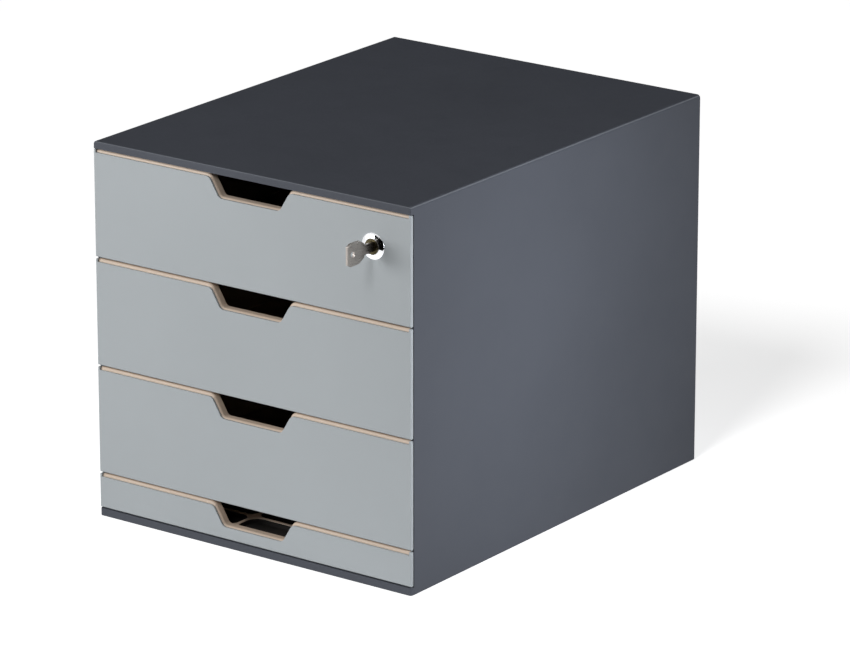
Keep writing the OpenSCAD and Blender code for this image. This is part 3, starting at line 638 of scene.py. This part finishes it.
def make_key():
    """The flat key: a bow with sloped corners and a ring hole, and a grooved, cut blade."""
    x, z, half_t, half_blade = LOCK_X, LOCK_Z, 0.9, 3.5
    tip, point, shoulder = -165.0, 1.75, -189.0
    ring_y, ring_r = -202.3, 2.1
    tooth_depth, tooth_pitch, tooth_shares, half_groove = 1.6, 2.6, (1, 0.6, 0.9, 0.5), 0.6
    sections = [
        (-208.0, 6.4), (-204.4, 8.3), (-195.0, 8.3), (-189.3, 5.2),
        (shoulder, half_blade), (tip - point, half_blade), (tip, half_blade - point),
    ]
    put_down()
    (y0, h0), (y1, h1) = sections[:2]
    bpy.ops.mesh.primitive_plane_add(
        size=1, location=((x - half_t) * MM, (y0 + y1) / 2 * MM, z * MM), rotation=(0, math.pi / 2, 0))
    bpy.context.object.scale = (2 * h0 * MM, (y1 - y0) * MM, 1)
    key = named("key_blank")
    open_up(key)
    pick(key, "EDGE", lambda a, b: near(a.y, y1) and near(b.y, y1))
    bpy.ops.transform.resize(value=(1, 1, h1 / h0), center_override=(x * MM, y1 * MM, z * MM))
    for (y0, h0), (y1, h1) in zip(sections[1:], sections[2:]):
        push(y=y1 - y0)
        bpy.ops.transform.resize(value=(1, 1, h1 / h0), center_override=(x * MM, y1 * MM, z * MM))
    bpy.ops.mesh.select_mode(type="FACE")
    bpy.ops.mesh.select_all(action="SELECT")
    push(x=2 * half_t)
    bpy.ops.mesh.select_all(action="SELECT")
    bpy.ops.mesh.normals_make_consistent(inside=False)
    put_down()
    depth_to_half_side = 0.7071
    for i, share in enumerate(tooth_shares):
        half, y = tooth_depth * share * depth_to_half_side, tip - point - (i + 0.5) * tooth_pitch
        tooth = block("tooth", (x - 2, y - half, z - half), (x + 2, y + half, z + half))
        take(tooth)
        bpy.ops.transform.rotate(value=math.pi / 4, orient_axis="X", center_override=(x * MM, y * MM, z * MM))
        bpy.ops.transform.translate(value=(0, 0, -half_blade * MM))
        carve(clean(key), tooth)
    for start, end, height in ((-2.0, -0.55, 1.1), (0.55, 2.0, -0.9)):
        carve(key, block(
            "groove",
            (x + start, shoulder + 2.5, z + height - half_groove), (x + end, tip + REACH, z + height + half_groove)))
    carve(key, bar("ring_hole", (x - 2, ring_y, z), (x + 2, ring_y, z), ring_r, 64))
    clean(key)

    def from_ring(p):
        return math.hypot(p.y - ring_y, p.z - z)

    round_edges(key, 0.3, lambda p: near(abs(p.x - x), half_t) and near(from_ring(p), ring_r))
    round_edges(key, 0.2, lambda p: (
        near(abs(p.x - x), half_t) and from_ring(p) > ring_r + 1 and (p.y < shoulder + 0.1 or p.z > z + 1.7)))
    return smooth(key, angle=35)


# Screws

def make_screw(length):
    """A pan-head screw with a cross recess, its head's seat at the origin and its shank along +Y."""
    screw = turned("pan_head", 0, 0, [
        (0.4, length), (0.9, length), (SHANK_R, length - 0.5), (SHANK_R, 0.0), (HEAD_R, 0.0), (HEAD_R, -0.45),
        (2.45, -0.85), (2.05, -1.2), (1.4, -1.42), (0.6, -HEAD_H),
    ], 32)
    open_up(screw)
    bpy.ops.mesh.select_mode(type="EDGE")
    bpy.ops.mesh.select_non_manifold()
    bpy.ops.mesh.fill_holes(sides=0)
    bpy.ops.mesh.select_all(action="SELECT")
    bpy.ops.mesh.normals_make_consistent(inside=False)
    put_down()
    arm, half_slot, depth = 1.7, 0.4, 0.8
    for half_x, half_z in ((arm, half_slot), (half_slot, arm)):
        carve(screw, block("recess", (-half_x, -HEAD_H - 1, -half_z), (half_x, -HEAD_H + depth, half_z)))
    return smooth(clean(screw), angle=35)


def set_screws(name, length, places):
    """Copies of one screw, each put at a point and turned to a direction."""
    first = make_screw(length)
    made = []
    for point, direction in places:
        take(first)
        bpy.ops.object.duplicate()
        turn = Vector((0, 1, 0)).rotation_difference(Vector(direction)).to_matrix().to_4x4()
        bpy.context.object.matrix_world = Matrix.Translation(Vector(point) * MM) @ turn
        made.append(named(name))
    bpy.data.meshes.remove(first.data)
    put_down()
    for screw in made:
        screw.select_set(True)
    bpy.context.view_layer.objects.active = made[0]
    bpy.ops.object.join()
    joined = bpy.context.object
    joined.name = joined.data.name = name
    put_down()
    return joined


# Pieces of the case
finished(make_hood(), case_plastic, "case_plastic", "case", "case_hood")
finished(make_base(), case_plastic, "case_plastic", "case", "base_panel")
finished(make_back(), case_plastic, "case_plastic", "case", "back_panel")
case_screws = [
    ("back_screws", 5.5, "back_panel_screws", [((x, Y_PANEL + BACK_T, z), (0, -1, 0)) for x, z in BACK_SCREWS]),
    ("base_screw_set", 9.5, "base_screws",
     [((x, y, CASE_LOW + HEAD_H + FIT), (0, 0, 1)) for x, y in BASE_SCREWS]),
    ("rack_screw_set", 4.8, "rack_screws",
     [((side * RACK_X, y, bay_low(n) + RACK_SCREW_RISE), (side, 0, 0))
      for side in (-1, 1) for n in (1, 3) for y in (-RACK_SCREW_Y, RACK_SCREW_Y)]),
    ("strike_screw_set", 3.6, "strike_screws",
     [((LOCK_X + x, STRIKE_SCREW_Y, TOP_UNDER - STRIKE_T), (0, 0, 1)) for x in (-STRIKE_SCREW_X, STRIKE_SCREW_X)]),
]
for name, length, node, places in case_screws:
    finished(set_screws(name, length, places), zinc_steel, "zinc_steel", "case", node)

# Pieces of the drawers
tall_front, tall_tray = make_front(2, "front_plate_2"), make_tray(2, "tray_2")
fronts = {2: tall_front, 4: make_front(4, "front_plate_4")}
trays = {2: tall_tray, 4: make_tray(4, "tray_4")}
for n in (1, 3):
    fronts[n] = copied(tall_front, f"front_plate_{n}", (2 - n) * TALL_BAY)
    trays[n] = copied(tall_tray, f"tray_{n}", (2 - n) * TALL_BAY)
for piece in (fronts[1], trays[1]):
    carve(piece, bar("lock_hole", (LOCK_X, Y_FRONT - 1, LOCK_Z), (LOCK_X, Y_WALL + 1, LOCK_Z), LOCK_HOLE_R, 96))
for n in (1, 2, 3, 4):
    body = f"drawer_{n}"
    finished(smooth(fronts[n]), front_plastic, "front_plastic", body, f"drawer_front_{n}")
    finished(soften(trays[n], width=0.35), tray_plastic, "tray_plastic", body, f"drawer_tray_{n}")
    places = [((x, Y_WALL, z), (0, -1, 0)) for x, z in boss_places(n)]
    finished(set_screws(f"front_screw_set_{n}", 5.8, places), zinc_steel, "zinc_steel", body, f"front_screws_{n}")
finished(make_insert(), tray_plastic, "tray_plastic", "drawer_4", "low_drawer_insert")

# Pieces of the lock
finished(make_lock_body(), lock_chrome, "lock_chrome", "drawer_1", "lock_body")
finished(make_plug(), plug_brass, "plug_brass", "lock", "lock_plug")
finished(make_key(), key_steel, "key_steel", "key", "key")

# CAD nodes that stay as they are
kept = {
    "left_runner_rack": inner_plastic, "right_runner_rack": inner_plastic, "foot_pads": pad_rubber,
    "lock_strike": zinc_steel, "lock_nut": zinc_steel, "lock_cam": zinc_steel, "cam_screw": zinc_steel,
}
for node, finish in kept.items():
    nodes[node].data.materials.clear()
    nodes[node].data.materials.append(finish)


# Studio

def seen_rays(tree):
    """1 for rays that look at the background, directly or in a reflection."""
    rays = step(tree, "ShaderNodeLightPath")
    total = rays.outputs["Is Camera Ray"]
    for other in ("Is Glossy Ray", "Is Transmission Ray"):
        both = step(tree, "ShaderNodeMath", {"operation": "MAXIMUM"})
        tree.links.new(total, both.inputs[0])
        tree.links.new(rays.outputs[other], both.inputs[1])
        total = both.outputs[0]
    return total


def make_floor(lifted_by):
    """A plain white floor that keeps the shadow and is lifted to white where it is seen."""
    put_down()
    bpy.ops.mesh.primitive_plane_add(size=14, location=(0, 0, 0))
    floor = named("studio_floor")
    finish = bpy.data.materials.new("floor_white")
    finish.use_nodes = True
    tree = finish.node_tree
    tree.nodes.clear()
    paint = step(tree, "ShaderNodeBsdfDiffuse", Color=(0.92, 0.92, 0.92, 1))
    lift = step(tree, "ShaderNodeEmission", Color=(1, 1, 1, 1))
    share = step(tree, "ShaderNodeMath", {"operation": "MULTIPLY"})
    share.inputs[1].default_value = lifted_by
    both = step(tree, "ShaderNodeAddShader")
    end = step(tree, "ShaderNodeOutputMaterial")
    tree.links.new(seen_rays(tree), share.inputs[0])
    tree.links.new(share.outputs[0], lift.inputs["Strength"])
    tree.links.new(paint.outputs[0], both.inputs[0])
    tree.links.new(lift.outputs[0], both.inputs[1])
    tree.links.new(both.outputs[0], end.inputs["Surface"])
    floor.data.materials.append(finish)


def make_world(ambient):
    """A white backdrop where it is seen, and a weak even light on the pieces."""
    world = bpy.data.worlds.new("studio")
    bpy.context.scene.world = world
    world.use_nodes = True
    tree = world.node_tree
    backdrop = tree.nodes["Background"]
    backdrop.inputs["Color"].default_value = (1, 1, 1, 1)
    level = step(tree, "ShaderNodeMapRange", To_Min=ambient, To_Max=1.0)
    tree.links.new(seen_rays(tree), level.inputs["Value"])
    tree.links.new(level.outputs["Result"], backdrop.inputs["Strength"])


def soft_lamp(name, place, aim, width, height, power, spread, tint=(1, 1, 1)):
    """A soft box at a place in metres, turned to another."""
    lamp = bpy.data.lights.new(name, "AREA")
    lamp.shape, lamp.size, lamp.size_y = "RECTANGLE", width, height
    lamp.energy, lamp.spread, lamp.color = power, math.radians(spread), tint
    holder = bpy.data.objects.new(name, lamp)
    holder.location = place
    holder.rotation_euler = (Vector(aim) - Vector(place)).to_track_quat("-Z", "Y").to_euler()
    bpy.context.scene.collection.objects.link(holder)


def far_lamp(name, azimuth, elevation, angle, strength):
    """A soft lamp so far off that its light is even, at a bearing from the front in degrees."""
    lamp = bpy.data.lights.new(name, "SUN")
    lamp.angle, lamp.energy = math.radians(angle), strength
    holder = bpy.data.objects.new(name, lamp)
    a, e = math.radians(azimuth), math.radians(elevation)
    ray = Vector((-math.sin(a) * math.cos(e), math.cos(a) * math.cos(e), -math.sin(e)))
    holder.rotation_euler = ray.to_track_quat("-Z", "Y").to_euler()
    bpy.context.scene.collection.objects.link(holder)


def dark_card(name, centre, facing, width, height):
    """A black flag that only reflections see."""
    put_down()
    turn = Vector(facing).to_track_quat("Z", "Y").to_euler()
    bpy.ops.mesh.primitive_plane_add(size=1, location=centre, rotation=turn)
    bpy.context.object.scale = (width, height, 1)
    card = named(name)
    finish, _, shader = new_finish(name)
    shader.inputs["Base Color"].default_value = (0.01, 0.01, 0.01, 1)
    shader.inputs["Specular IOR Level"].default_value = 0.0
    card.data.materials.append(finish)
    card.visible_camera = card.visible_diffuse = card.visible_shadow = False


def make_camera(place, azimuth, elevation, focal_px, width_px):
    """A camera at a place in metres, turned by angles in degrees, with its focal length in pixels."""
    camera = bpy.data.objects.new("camera", bpy.data.cameras.new("camera"))
    bpy.context.scene.collection.objects.link(camera)
    a, e = math.radians(azimuth), math.radians(elevation)
    back = Vector((math.sin(a) * math.cos(e), -math.cos(a) * math.cos(e), math.sin(e)))
    camera.location = place
    camera.rotation_euler = (-back).to_track_quat("-Z", "Y").to_euler()
    camera.data.sensor_width = 36.0
    camera.data.lens = focal_px / width_px * 36.0
    camera.data.clip_end = 50.0
    bpy.context.scene.camera = camera


make_floor(lifted_by=0.72)
make_world(ambient=0.05)
soft_lamp("left_front_lamp", (-0.72, -1.22, 0.52), (-0.02, -0.1, 0.36), 1.0, 0.5, 2.95, 90)
far_lamp("high_front_lamp", 7, 41, 16, 1.2)
soft_lamp("right_lamp", (0.68, -0.09, 0.29), (0.14, -0.06, 0.18), 0.22, 0.22, 0.71, 80, (0.97, 1.0, 1.05))
dark_card("card_behind", (-0.75, 1.05, 0.95), (0.58, -0.8, -0.1), 3.4, 1.8)
dark_card("card_at_camera", (0.38, -0.597, 0.451), (-0.545, 0.839, 0), 1.6, 0.9)
make_camera((2.19486, -2.96248, 1.3228), 36.268, 18.022, 5320.4, 850)
bpy.context.scene.view_settings.view_transform = "Standard"
